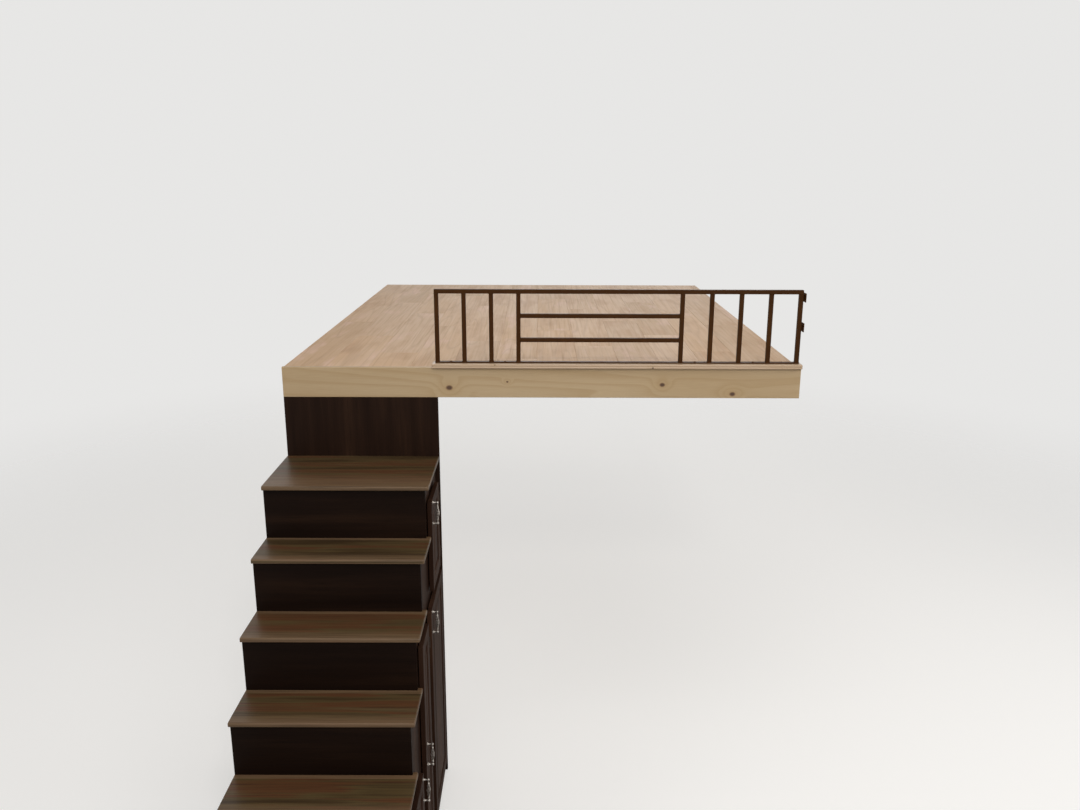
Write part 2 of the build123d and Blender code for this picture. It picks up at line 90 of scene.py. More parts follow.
class Graph:
    """The node tree of one finish, with short calls for the nodes that the finishes use."""

    def __init__(self, name):
        self.material = bpy.data.materials.new(name)
        self.material.use_nodes = True
        self.tree = self.material.node_tree
        self.tree.nodes.clear()
        self.shader = self.add("ShaderNodeBsdfPrincipled")
        self.output = self.add("ShaderNodeOutputMaterial", {"Surface": self.shader.outputs[0]})
        self.place = self.add("ShaderNodeTexCoord").outputs["Object"]

    def add(self, kind, inputs=None, **settings):
        node = self.tree.nodes.new(kind)
        for key, value in settings.items():
            setattr(node, key, value)
        for socket, value in (inputs or {}).items():
            self.feed(node.inputs[socket], value)
        return node

    def feed(self, socket, value):
        if isinstance(value, bpy.types.NodeSocket):
            self.tree.links.new(value, socket)
        elif socket.type == "RGBA" and len(value) == 3:
            socket.default_value = (*value, 1.0)
        else:
            socket.default_value = value

    def math(self, operation, a, b=0.0, c=0.0):
        return self.add("ShaderNodeMath", {0: a, 1: b, 2: c}, operation=operation).outputs[0]

    def vector(self, operation, a, b=(0.0, 0.0, 0.0)):
        node = self.add("ShaderNodeVectorMath", {0: a, 1: b}, operation=operation)
        return node.outputs["Value" if operation in ("LENGTH", "DISTANCE", "DOT_PRODUCT") else "Vector"]

    def noise(self, place, scale, detail=2.0, roughness=0.5):
        inputs = {"Vector": place, "Scale": scale, "Detail": detail, "Roughness": roughness}
        return self.add("ShaderNodeTexNoise", inputs).outputs[0]

    def stretched(self, place, stretch, detail=2.0, roughness=0.5):
        """Noise whose three axes have scales of their own."""
        return self.noise(self.vector("MULTIPLY", place, stretch), 1.0, detail, roughness)

    def ramp(self, value, stops):
        node = self.add("ShaderNodeValToRGB", {0: value})
        while len(node.color_ramp.elements) < len(stops):
            node.color_ramp.elements.new(0.5)
        for element, (position, colour) in zip(node.color_ramp.elements, stops):
            element.position = position
            element.color = (*colour, 1.0)
        return node.outputs[0]

    def mix(self, share, a, b, blend="MIX"):
        inputs = {0: share, 6: a, 7: b}
        return self.add("ShaderNodeMix", inputs, data_type="RGBA", blend_type=blend).outputs[2]

    def spread(self, value, low, high, to_low=0.0, to_high=1.0):
        inputs = {0: value, 1: low, 2: high, 3: to_low, 4: to_high}
        return self.add("ShaderNodeMapRange", inputs, interpolation_type="SMOOTHSTEP").outputs[0]

    def bump(self, height, distance, strength=1.0):
        node = self.add("ShaderNodeBump", {"Height": height, "Distance": distance, "Strength": strength})
        self.feed(self.shader.inputs["Normal"], node.outputs[0])

    def finish(self, colour, roughness, metallic=0.0, coat=0.0, specular=0.5):
        self.feed(self.shader.inputs["Base Color"], colour)
        self.feed(self.shader.inputs["Roughness"], roughness)
        self.shader.inputs["Metallic"].default_value = metallic
        self.shader.inputs["Coat Weight"].default_value = coat
        self.shader.inputs["Coat Roughness"].default_value = COAT_ROUGHNESS
        self.shader.inputs["Specular IOR Level"].default_value = specular
        return self.material


AXIS_ORDER = {"X": (0, 1, 2), "Y": (1, 0, 2), "Z": (2, 0, 1)}
BOARD_SHIFT = (53.1, 17.7)


def lengthwise(g, along):
    """Places with the grain's direction first, shifted from board to board, and the boards' own numbers."""
    parts = g.add("ShaderNodeSeparateXYZ", {0: g.place})
    turned = {n: parts.outputs[axis] for n, axis in enumerate(AXIS_ORDER[along])}
    swapped = g.add("ShaderNodeCombineXYZ", turned).outputs[0]
    board = g.add("ShaderNodeAttribute", attribute_name="board").outputs["Fac"]
    shift = {n: g.math("MULTIPLY", board, step) for n, step in enumerate(BOARD_SHIFT)}
    return g.vector("ADD", swapped, g.add("ShaderNodeCombineXYZ", shift).outputs[0]), board


# Knots: how far the grain swells around one, and where its core's edge fades, in the knot's radii
SWELL_REACH, SCATTERED_SWELL_REACH = 3.2, 3.0
CORE_OUTSIDE, CORE_INSIDE = 1.25, 0.45
KNOT_STRETCH = (0.85, 0.0, 1.15)


def swelling(g, share, reach):
    """A bell curve over the distance from a knot, given in its radii."""
    squared = g.math("POWER", g.math("DIVIDE", share, reach), 2.0)
    return g.math("EXPONENT", g.math("MULTIPLY", squared, -1.0))


def knot_field(g, knots):
    """How far the grain swells around the given knots, and how much of a knot's core shows."""
    swell, core = 0.0, 0.0
    for x, y, z, radius in knots:
        away = g.vector("MULTIPLY", g.vector("SUBTRACT", g.place, (x, y, z)), KNOT_STRETCH)
        share = g.math("DIVIDE", g.vector("LENGTH", away), radius)
        swell = g.math("ADD", swell, swelling(g, share, SWELL_REACH))
        core = g.math("MAXIMUM", core, g.spread(share, CORE_OUTSIDE, CORE_INSIDE))
    return swell, core


# Knots scattered over timber: smallest radius, spread of the radii, grid, share of its cells with a knot
KNOT_LEAST, KNOT_RANGE, KNOT_SPACING, KNOT_SHARE = 0.0055, 0.0066, 0.34, 0.45


def scattered_knots(g, place):
    """Swell and core of knots scattered over a board's face, which is flat across place's third axis."""
    flat = g.vector("MULTIPLY", place, (1.0, 1.0, 0.0))
    grid = {"Vector": flat, "Scale": 1.0 / KNOT_SPACING}
    cells = g.add("ShaderNodeTexVoronoi", grid, voronoi_dimensions="2D")
    picked = g.add("ShaderNodeSeparateColor", {0: cells.outputs["Color"]})
    chosen = g.math("LESS_THAN", picked.outputs[0], KNOT_SHARE)
    radius = g.math("MULTIPLY_ADD", picked.outputs[1], KNOT_RANGE, KNOT_LEAST)
    share = g.math("DIVIDE", g.math("MULTIPLY", cells.outputs["Distance"], KNOT_SPACING), radius)
    swell, core = swelling(g, share, SCATTERED_SWELL_REACH), g.spread(share, CORE_OUTSIDE, CORE_INSIDE)
    return g.math("MULTIPLY", swell, chosen), g.math("MULTIPLY", core, chosen)


KNOT_BROWN = (0.20, 0.10, 0.045)
TIMBER_SPACING = 0.4036
TIMBER_SHIFT = 7.3


def timber_face(g, place):
    """Coordinates on the upright face of a timber, which differ from each timber in a row to the next."""
    parts = g.add("ShaderNodeSeparateXYZ", {0: place})
    number = g.math("FLOOR", g.math("DIVIDE", parts.outputs[1], TIMBER_SPACING))
    shifted = g.math("ADD", parts.outputs[0], g.math("MULTIPLY", number, TIMBER_SHIFT))
    return g.add("ShaderNodeCombineXYZ", {0: shifted, 1: parts.outputs[2]}).outputs[0]


def pine(name, along, pale, mid, dark, rings, roughness, knots=None, coat=0.0):
    """Softwood with growth rings drawn out along the board, around the given knots or scattered ones."""
    g = Graph(name)
    place, _ = lengthwise(g, along)
    swell, core = knot_field(g, knots) if knots else scattered_knots(g, timber_face(g, place))
    figure = g.stretched(place, (0.45, 6.5, 6.5), 1.0, 0.4)
    wander = g.stretched(place, (2.2, 30.0, 30.0))
    field = g.math("MULTIPLY_ADD", figure, rings, g.math("MULTIPLY", wander, 0.5))
    field = g.math("MULTIPLY_ADD", swell, 2.2, field)
    ring = g.math("FRACT", field)
    late = g.math("MULTIPLY", g.spread(ring, 0.35, 0.9), g.spread(ring, 1.0, 0.93))
    fibre = g.stretched(place, (14.0, 520.0, 520.0))
    tone = g.stretched(place, (0.9, 7.0, 7.0))
    colour = g.mix(g.math("MULTIPLY", late, 0.42), pale, mid)
    colour = g.mix(g.math("MULTIPLY", g.spread(tone, 0.35, 0.75), 0.4), colour, mid)
    colour = g.mix(g.math("MULTIPLY", fibre, 0.28), colour, mid, "MULTIPLY")
    colour = g.mix(g.math("MULTIPLY", swell, 0.45), colour, mid)
    colour = g.mix(g.spread(core, 0.05, 0.55, 0.0, 0.8), colour, KNOT_BROWN)
    colour = g.mix(g.spread(core, 0.6, 1.0, 0.0, 0.9), colour, dark)
    shine = g.math("MULTIPLY_ADD", fibre, 0.16, roughness - 0.05)
    g.bump(g.math("SUBTRACT", fibre, g.math("MULTIPLY", late, -0.8)), 0.00012, 0.6)
    return g.finish(colour, shine, coat=coat)


BOARD_TONES = (
    (0.0, (0.60, 0.385, 0.215)), (0.2, (0.66, 0.45, 0.285)), (0.4, (0.53, 0.345, 0.195)),
    (0.6, (0.69, 0.485, 0.325)), (0.8, (0.57, 0.39, 0.245)), (1.0, (0.63, 0.40, 0.22)),
)
BOARD_CLOUD = (0.70, 0.51, 0.355)
STAIN_BROWN, STAIN_ROSE = (0.50, 0.30, 0.165), (0.76, 0.52, 0.41)
STREAK_BROWN, GRAIN_BROWN, SAW_MARK = (0.36, 0.215, 0.12), (0.33, 0.19, 0.105), (0.66, 0.50, 0.37)


def laminate():
    """Printed floor boards: every board has its own tone, with streaks along its grain and saw marks."""
    g = Graph("floor_laminate")
    place, board = lengthwise(g, "Y")
    tone = g.ramp(board, BOARD_TONES)
    cloud = g.stretched(place, (1.3, 7.0, 7.0))
    streak = g.stretched(place, (2.0, 95.0, 95.0), 4.0, 0.6)
    figure = g.stretched(place, (0.45, 8.0, 8.0), 0.0)
    line = g.math("PINGPONG", g.math("MULTIPLY", figure, 8.0), 0.5)
    grain = g.spread(line, 0.12, 0.0)
    saw = g.stretched(place, (150.0, 5.0, 5.0))
    aside = g.vector("ADD", g.vector("MULTIPLY", place, (2.2, 7.0, 7.0)), (5.0, 2.0, 0.0))
    stain = g.noise(aside, 1.0, 3.0, 0.55)
    colour = g.mix(g.spread(cloud, 0.4, 0.7, 0.0, 0.4), tone, BOARD_CLOUD)
    colour = g.mix(g.spread(stain, 0.48, 0.68, 0.0, 0.6), colour, STAIN_BROWN)
    colour = g.mix(g.spread(stain, 0.45, 0.30, 0.0, 0.5), colour, STAIN_ROSE)
    colour = g.mix(g.spread(streak, 0.45, 0.75, 0.0, 0.32), colour, STREAK_BROWN)
    colour = g.mix(g.math("MULTIPLY", grain, 0.2), colour, GRAIN_BROWN)
    colour = g.mix(g.spread(saw, 0.58, 0.8, 0.0, 0.16), colour, SAW_MARK)
    g.bump(g.math("ADD", streak, g.math("MULTIPLY", saw, 0.4)), 0.00015, 0.5)
    return g.finish(colour, g.spread(streak, 0.2, 0.8, 0.46, 0.6), specular=0.15)


TREAD_STREAKS = (
    (0.25, (0.024, 0.0135, 0.0060)), (0.41, (0.056, 0.034, 0.0145)), (0.49, (0.088, 0.059, 0.0250)),
    (0.55, (0.098, 0.041, 0.0180)), (0.63, (0.086, 0.043, 0.0190)), (0.72, (0.106, 0.072, 0.0340)),
    (0.85, (0.044, 0.025, 0.0110)),
)
# Painted highlight for the light caught by the rounded noses, and the colour of the wood's pores
PAINTED_NOSE_HIGHLIGHT, TREAD_PORE = (0.165, 0.102, 0.056), (0.020, 0.011, 0.006)


def tread_wood(name, front, repeat, pale_depth):
    """Dark brown stair boards with tan and reddish streaks along X, with a painted highlight that pales them
    from the nose back to pale_depth.
    """
    g = Graph(name)
    place, _ = lengthwise(g, "X")
    wide = g.stretched(place, (0.9, 16.0, 16.0), 3.0, 0.55)
    fine = g.stretched(place, (3.0, 130.0, 130.0), 3.0, 0.6)
    colour = g.ramp(wide, TREAD_STREAKS)
    deep = g.add("ShaderNodeSeparateXYZ", {0: g.place}).outputs[1]
    step = g.math("FRACT", g.math("DIVIDE", g.math("SUBTRACT", deep, front), repeat))
    back = g.math("MULTIPLY", step, repeat)
    # Painted highlight: paler towards the nose, standing in for light on the rounded front edge
    colour = g.mix(g.spread(back, pale_depth, 0.2 * pale_depth, 0.0, 0.78), colour, PAINTED_NOSE_HIGHLIGHT)
    colour = g.mix(g.spread(fine, 0.42, 0.75, 0.0, 0.55), colour, TREAD_PORE)
    g.bump(fine, 0.00015, 0.55)
    return g.finish(colour, g.spread(fine, 0.25, 0.8, 0.32, 0.46), coat=0.05, specular=0.25)


STAINS = ((0.3, (0.0055, 0.0025, 0.0015)), (0.55, (0.0105, 0.0050, 0.0030)), (0.75, (0.019, 0.0092, 0.0052)))
STAIN_PORE = (0.0045, 0.0024, 0.0017)


def espresso(name, along, tone=1.0, specular=0.06):
    """Near-black brown stained board with a faint grain and a satin finish, tone times as pale."""
    g = Graph(name)
    place, _ = lengthwise(g, along)
    wide = g.stretched(place, (0.8, 13.0, 13.0), 3.0, 0.55)
    fine = g.stretched(place, (7.0, 300.0, 300.0), 3.0, 0.6)
    colour = g.ramp(wide, [(stop, tuple(tone * part for part in stain)) for stop, stain in STAINS])
    pore = tuple(tone * part for part in STAIN_PORE)
    colour = g.mix(g.spread(fine, 0.45, 0.75, 0.0, 0.6), colour, pore)
    g.bump(fine, 0.00012, 0.6)
    return g.finish(colour, g.spread(fine, 0.25, 0.8, 0.42, 0.56), specular=specular)


SHEET_PALE, SHEET_MID, SHEET_FIBRE = (0.58, 0.43, 0.26), (0.43, 0.285, 0.15), (0.44, 0.30, 0.17)
PLY_EDGE = (0.36, 0.22, 0.11)


def plywood():
    """Sanded sheet with broad grain on its faces and dark and pale plies along its edges."""
    g = Graph("plywood")
    place, _ = lengthwise(g, "X")
    figure = g.stretched(place, (0.5, 3.2, 3.2), 1.0, 0.4)
    line = g.math("PINGPONG", g.math("MULTIPLY", figure, 11.0), 0.5)
    fibre = g.stretched(place, (10.0, 380.0, 380.0))
    parts = g.add("ShaderNodeSeparateXYZ", {0: g.place})
    ply = g.math("PINGPONG", g.math("MULTIPLY", parts.outputs[2], 230.0), 0.5)
    colour = g.mix(g.spread(line, 0.2, 0.0, 0.0, 0.5), SHEET_PALE, SHEET_MID)
    colour = g.mix(g.math("MULTIPLY", fibre, 0.35), colour, SHEET_FIBRE)
    colour = g.mix(g.spread(ply, 0.3, 0.2, 0.0, 0.4), colour, PLY_EDGE)
    g.bump(fibre, 0.00015, 0.6)
    return g.finish(colour, g.spread(fibre, 0.2, 0.8, 0.55, 0.72))


# Metals and paint: each one's two colours, and the stain on the zinc
PAINT, PAINT_DUST = (0.048, 0.0185, 0.0050), (0.080, 0.0320, 0.0090)
ZINC_DARK, ZINC_PALE, ZINC_STAIN = (0.48, 0.50, 0.52), (0.68, 0.70, 0.72), (0.36, 0.37, 0.38)
PEWTER, PEWTER_TARNISH = (0.42, 0.385, 0.35), (0.15, 0.13, 0.115)
BRONZE, BRONZE_RUBBED = (0.035, 0.024, 0.018), (0.085, 0.060, 0.043)


def powder_coat():
    """Satin black-brown coat on steel, with the faint orange peel of a sprayed finish."""
    g = Graph("guard_paint")
    peel = g.noise(g.place, 620.0, 2.0)
    dust = g.noise(g.place, 17.0, 4.0, 0.6)
    colour = g.mix(g.spread(dust, 0.45, 0.8, 0.0, 0.5), PAINT, PAINT_DUST)
    g.bump(peel, 0.00008, 0.5)
    return g.finish(colour, g.spread(dust, 0.3, 0.8, 0.38, 0.52), specular=0.06)


def galvanised():
    """Zinc-coated sheet with its spangle of grey crystals."""
    g = Graph("zinc_steel")
    cells = g.add("ShaderNodeTexVoronoi", {"Vector": g.place, "Scale": 170.0})
    value = g.add("ShaderNodeSeparateColor", {0: cells.outputs["Color"]}).outputs[0]
    stain = g.noise(g.place, 30.0, 3.0)
    colour = g.mix(value, ZINC_DARK, ZINC_PALE)
    colour = g.mix(g.spread(stain, 0.55, 0.8, 0.0, 0.4), colour, ZINC_STAIN)
    return g.finish(colour, g.math("MULTIPLY_ADD", value, 0.2, 0.3), metallic=1.0)


def aged_pewter():
    """Dull grey plate, darker in patches, with fine brush lines."""
    g = Graph("aged_pewter")
    brush = g.stretched(g.place, (900.0, 900.0, 60.0))
    patch = g.noise(g.place, 120.0, 3.0)
    colour = g.mix(g.spread(patch, 0.35, 0.75), PEWTER, PEWTER_TARNISH)
    g.bump(brush, 0.00004, 0.5)
    return g.finish(colour, g.spread(brush, 0.2, 0.8, 0.30, 0.46), metallic=1.0)


def dark_bronze():
    """Brown-black plated steel, rubbed a little brighter in patches."""
    g = Graph("dark_bronze")
    patch = g.noise(g.place, 150.0, 3.0)
    colour = g.mix(g.spread(patch, 0.4, 0.75), BRONZE, BRONZE_RUBBED)
    return g.finish(colour, g.spread(patch, 0.3, 0.8, 0.36, 0.5), metallic=0.8, specular=0.3)


STAIR_RUN = 0.203
WHOLE_LANDING = 1.0
# How far back from the nose the painted highlight reaches, on the treads and on the landing
TREAD_PALE_DEPTH, LANDING_PALE_DEPTH = 0.075, 0.2
# How many times as pale as the risers each copy of the espresso stain is: the back panel's, the face frames'
# and the doors'. The face frames' and doors' paler copies are painted light, for the light that falls on the
# stair's side
BACK_TONE, FACE_PAINTED_LIGHT_TONE, DOOR_PAINTED_LIGHT_TONE = 2.0, 2.8, 3.8
DOOR_SPECULAR = 0.04

# Knots that show in the photograph: place along the board, distance from the deck, radius
FASCIA_KNOTS = (
    (-0.420, 0.094, 0.0145), (-0.155, 0.066, 0.005), (0.552, 0.078, 0.012), (0.874, 0.1205, 0.0125),
)
CAP_KNOTS = ((0.504, 0.004, 0.0045), (-0.21, 0.016, 0.003))

# Pale wood, its late growth, and the dark of its knots
FASCIA_PINE = ((0.52, 0.39, 0.235), (0.41, 0.275, 0.13), (0.06, 0.025, 0.011))
CAP_PINE = ((0.57, 0.425, 0.30), (0.47, 0.33, 0.195), (0.06, 0.025, 0.011))
RAW_PINE = ((0.62, 0.47, 0.29), (0.47, 0.31, 0.155), (0.10, 0.045, 0.02))


def make_finishes():
    fascia_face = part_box("fascia_board")[0].y
    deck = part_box("fascia_board")[1].z
    fascia_knots = [(x, fascia_face, deck - down, radius) for x, down, radius in FASCIA_KNOTS]
    cap_knots = [(x, fascia_face, deck + up, radius) for x, up, radius in CAP_KNOTS]
    tread_front, landing_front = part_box("treads")[0].y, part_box("landing")[0].y
    return {
        "fascia": pine("pine_fascia", "X", *FASCIA_PINE, 10.0, 0.48, fascia_knots, coat=0.1),
        "cap": pine("pine_cap", "X", *CAP_PINE, 7.0, 0.42, cap_knots, coat=0.15),
        "timber_x": pine("joist_timber", "X", *RAW_PINE, 9.0, 0.62),
        "timber_y": pine("joist_timber_y", "Y", *RAW_PINE, 9.0, 0.62),
        "laminate": laminate(),
        "tread": tread_wood("dark_tread", tread_front, STAIR_RUN, TREAD_PALE_DEPTH),
        "landing": tread_wood("dark_landing", landing_front, WHOLE_LANDING, LANDING_PALE_DEPTH),
        "espresso_x": espresso("espresso_level", "X"),
        "espresso_y": espresso("espresso_deep", "Y"),
        "espresso_z": espresso("espresso_board", "Z"),
        "panel": espresso("espresso_panel", "Z", BACK_TONE),
        # Paler copies of the same stain: painted light on the face frames and the doors
        "face": espresso("espresso_face", "Z", FACE_PAINTED_LIGHT_TONE, DOOR_SPECULAR),
        "door_y": espresso("espresso_rail", "Y", DOOR_PAINTED_LIGHT_TONE, DOOR_SPECULAR),
        "door_z": espresso("espresso_stile", "Z", DOOR_PAINTED_LIGHT_TONE, DOOR_SPECULAR),
        "plywood": plywood(),
        "paint": powder_coat(),
        "zinc": galvanised(),
        "pewter": aged_pewter(),
        "bronze": dark_bronze(),
    }


CAD_FINISH = {
    "fascia_board": "fascia", "front_beam": "timber_x", "rear_ledger": "timber_x", "side_ledgers": "timber_y",
    "joists": "timber_x", "joist_hangers": "zinc", "subfloor": "plywood", "guard_top_rail": "paint",
    "guard_bottom_bar": "paint", "guard_uprights": "paint", "guard_mid_bars": "paint",
    "guard_wall_brackets": "paint", "treads": "tread", "landing": "landing", "risers": "espresso_x",
    "wall_side_panel": "espresso_z", "back_panel": "panel", "base_panel": "espresso_y",
    "plinth_boards": "espresso_y", "bay_walls": "espresso_z", "tall_bay_shelf": "espresso_y",
    "foot_bay_face": "face", "low_bay_face": "face", "middle_bay_face": "face",
    "tall_bay_face": "face", "foot_panel": "door_z", "frame_hinges": "bronze",
}
DOORS = ("short_door", "tall_door", "middle_door", "low_door")
for door in DOORS:
    CAD_FINISH[f"{door}_panel"] = "door_z"
    CAD_FINISH[f"{door}_hinges"] = "bronze"
    CAD_FINISH[f"{door}_frame"] = "espresso_z"
    CAD_FINISH[f"{door}_pull"] = "pewter"

# How far the sharp edges of each kind of piece are eased
EDGE_EASE = {
    "front_beam": 0.003, "joists": 0.003, "subfloor": 0.0005,
    "guard_top_rail": 0.0018, "guard_bottom_bar": 0.0008, "guard_uprights": 0.0018, "guard_mid_bars": 0.0018,
    "guard_wall_brackets": 0.0006, "joist_hangers": 0.0005, "risers": 0.0008, "wall_side_panel": 0.0006,
    "back_panel": 0.0008, "base_panel": 0.0006, "plinth_boards": 0.0006, "bay_walls": 0.0006,
    "tall_bay_shelf": 0.0006, "foot_bay_face": 0.0006, "low_bay_face": 0.0006, "middle_bay_face": 0.0006,
    "tall_bay_face": 0.0006,
}
SAME_POINT = 0.00001
SHARP_ANGLE = math.radians(40)


def ease_edges(piece, width):
    weld = piece.modifiers.new("weld", "WELD")
    weld.merge_threshold = SAME_POINT
    bevel = piece.modifiers.new("bevel", "BEVEL")
    bevel.width = width
    bevel.segments = 2
    bevel.limit_method = "ANGLE"
    bevel.angle_limit = SHARP_ANGLE
    bevel.harden_normals = True


def dress_cad_nodes(finish):
    for name, key in CAD_FINISH.items():
        materials = nodes[name].data.materials
        materials.clear()
        materials.append(finish[key])
        if name in EDGE_EASE:
            ease_edges(nodes[name], EDGE_EASE[name])


# Stage

FLOOR_NEAR, FLOOR_CLEAR, FLOOR_FAR = 3.2, 8.5, 9.0
FLOOR_CENTRE_Y = -1.5
FLOOR_DROP = 0.001
FLOOR_SIDES = 96
FLOOR_GREY = (0.62, 0.615, 0.605)
FLOOR_GLOW, FLOOR_GLOW_COLOUR = 0.42, (1.0, 0.995, 0.985)


def make_stage():
    bm = bmesh.new()
    bmesh.ops.create_circle(bm, cap_ends=True, segments=FLOOR_SIDES, radius=FLOOR_FAR)
    mesh = bpy.data.meshes.new("stage_floor")
    bm.to_mesh(mesh)
    bm.free()
    floor = bpy.data.objects.new("stage_floor", mesh)
    floor.location = (0, FLOOR_CENTRE_Y, cad_box[0][2] - FLOOR_DROP)
    scene.collection.objects.link(floor)
    g = Graph("stage_floor")
    g.finish(FLOOR_GREY, 0.9, specular=0.1)
    g.feed(g.shader.inputs["Emission Color"], FLOOR_GLOW_COLOUR)
    seen = g.add("ShaderNodeLightPath").outputs["Is Camera Ray"]
    g.feed(g.shader.inputs["Emission Strength"], g.math("MULTIPLY", seen, FLOOR_GLOW))
    faded = g.spread(g.vector("LENGTH", g.place), FLOOR_NEAR, FLOOR_CLEAR)
    clear = g.add("ShaderNodeBsdfTransparent").outputs[0]
    fade = g.add("ShaderNodeMixShader", {0: faded, 1: g.shader.outputs[0], 2: clear})
    g.feed(g.output.inputs["Surface"], fade.outputs[0])
    mesh.materials.append(g.material)


# World: what lights the part, and what is seen behind it and in its reflections
WORLD_LIGHT, WORLD_TINT = 0.30, (1.0, 0.985, 0.965, 1.0)
BACKDROP = (0.80, 0.795, 0.785, 1.0)


def make_world():
    world = bpy.data.worlds.new("studio")
    world.use_nodes = True
    tree = world.node_tree
    tree.nodes.clear()
    path = tree.nodes.new("ShaderNodeLightPath")
    seen = None
    for ray in ("Is Camera Ray", "Is Glossy Ray", "Is Transmission Ray"):
        if seen is None:
            seen = path.outputs[ray]
            continue
        either = tree.nodes.new("ShaderNodeMath")
        either.operation = "MAXIMUM"
        tree.links.new(seen, either.inputs[0])
        tree.links.new(path.outputs[ray], either.inputs[1])
        seen = either.outputs[0]
    light = tree.nodes.new("ShaderNodeBackground")
    light.inputs[0].default_value = WORLD_TINT
    light.inputs[1].default_value = WORLD_LIGHT
    shown = tree.nodes.new("ShaderNodeBackground")
    shown.inputs[0].default_value = BACKDROP
    shown.inputs[1].default_value = 1.0
    mix = tree.nodes.new("ShaderNodeMixShader")
    out = tree.nodes.new("ShaderNodeOutputWorld")
    tree.links.new(seen, mix.inputs[0])
    tree.links.new(light.outputs[0], mix.inputs[1])
    tree.links.new(shown.outputs[0], mix.inputs[2])
    tree.links.new(mix.outputs[0], out.inputs[0])
    scene.world = world


LAMP_TINT = (1.0, 0.975, 0.94)

# Lamps: place, point that it faces, width, height, watts
LAMPS = (
    ((0.6, -5.6, 4.4), (0.1, -3.6, -0.6), 4.5, 3.5, 80),
    ((2.4, -10.5, 2.2), (0.0, -3.0, -0.4), 4.0, 3.0, 55),
    ((0.9, -8.4, 3.6), (0.0, -3.0, -0.4), 0.9, 0.7, 94),
    ((-6.0, -7.5, 2.6), (0.0, -3.0, -0.6), 3.0, 3.0, 75),
    ((5.5, -4.0, 1.6), (0.0, -3.5, -0.9), 3.0, 3.0, 75),
    ((0.5, 5.5, 2.5), (0.0, -1.5, 0.0), 5.0, 3.0, 80),
)


def make_lamps():
    for n, (place, target, width, height, watts) in enumerate(LAMPS):
        data = bpy.data.lights.new(f"lamp_{n}", "AREA")
        data.shape = "RECTANGLE"
        data.size, data.size_y = width, height
        data.energy = watts
        data.color = LAMP_TINT
        lamp = bpy.data.objects.new(f"lamp_{n}", data)
        lamp.location = place
        lamp.rotation_euler = (Vector(target) - Vector(place)).to_track_quat("-Z", "Y").to_euler()
        scene.collection.objects.link(lamp)


# Mesh pieces

def put(name, bm, materials, body="root", instead_of=(), smooth_angle=40):
    """Makes a piece of the part from a bmesh in the part's frame."""
    mesh = bpy.data.meshes.new(name)
    bmesh.ops.recalc_face_normals(bm, faces=bm.faces)
    bm.to_mesh(mesh)
    bm.free()
    for material in materials:
        mesh.materials.append(material)
    for face in mesh.polygons:
        face.use_smooth = True
    mesh.set_sharp_from_angle(angle=math.radians(smooth_angle))
    piece = bpy.data.objects.new(name, mesh)
    scene.collection.objects.link(piece)
    weighted = piece.modifiers.new("weighted", "WEIGHTED_NORMAL")
    weighted.keep_sharp = True
    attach(piece, body)
    if instead_of:
        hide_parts(*instead_of)


def new_bmesh():
    bm = bmesh.new()
    bm.faces.layers.float.new("board")
    return bm


def sharp_box(low, high):
    part = bmesh.new()
    centre = (Vector(low) + Vector(high)) / 2
    size = Vector(high) - Vector(low)
    bmesh.ops.create_cube(part, size=1.0, matrix=Matrix.Translation(centre) @ Matrix.Diagonal((*size, 1.0)))
    return part


def add_block(bm, low, high, ease, board):
    """A box with eased edges, as an island of its own."""
    part = sharp_box(low, high)
    bmesh.ops.bevel(part, geom=part.edges[:], offset=ease, segments=1, affect="EDGES")
    add_part(bm, part, board)


def join_loops(part, loops, closed=False):
    """Makes faces from each loop of vertices to the next, and from the last to the first if closed."""
    faces = []
    for a, b in zip(loops, loops[1:] + (loops[:1] if closed else [])):
        for k in range(len(a)):
            after = (k + 1) % len(a)
            faces.append(part.faces.new((a[k], a[after], b[after], b[k])))
    return faces


def add_part(bm, part, board=0.0):
    """Copies a loose bmesh into bm, with a board number for all its faces."""
    layer = bm.faces.layers.float["board"]
    copied = {v: bm.verts.new(v.co) for v in part.verts}
    for face in part.faces:
        made = bm.faces.new([copied[v] for v in face.verts])
        made[layer] = board
        made.material_index = face.material_index
    part.free()


def add_tube(bm, points, radii, sides):
    """A round bar along points, whose radius at each point is given, closed at both ends."""
    points = [Vector(p) for p in points]
    part = bmesh.new()
    loops = []
    side = None
    for n, point in enumerate(points):
        ahead = (points[min(n + 1, len(points) - 1)] - points[max(n - 1, 0)]).normalized()
        if side is None:
            side = ahead.orthogonal().normalized()
        side = (side - ahead * side.dot(ahead)).normalized()
        other = ahead.cross(side)
        ring = []
        for k in range(sides):
            angle = 2 * math.pi * k / sides
            ring.append(part.verts.new(point + radii[n] * (math.cos(angle) * side + math.sin(angle) * other)))
        loops.append(ring)
    join_loops(part, loops)
    part.faces.new(loops[0])
    part.faces.new(loops[-1])
    add_part(bm, part)


# Floor boards

BOARD_WIDTH = 0.192
BOARD_LENGTH = 1.21
BOARD_GAP = 0.0003
BOARD_EASE = 0.0007
BOARD_STAGGER = 0.37
SHORTEST_BOARD = 0.02
SLIVER = 0.001


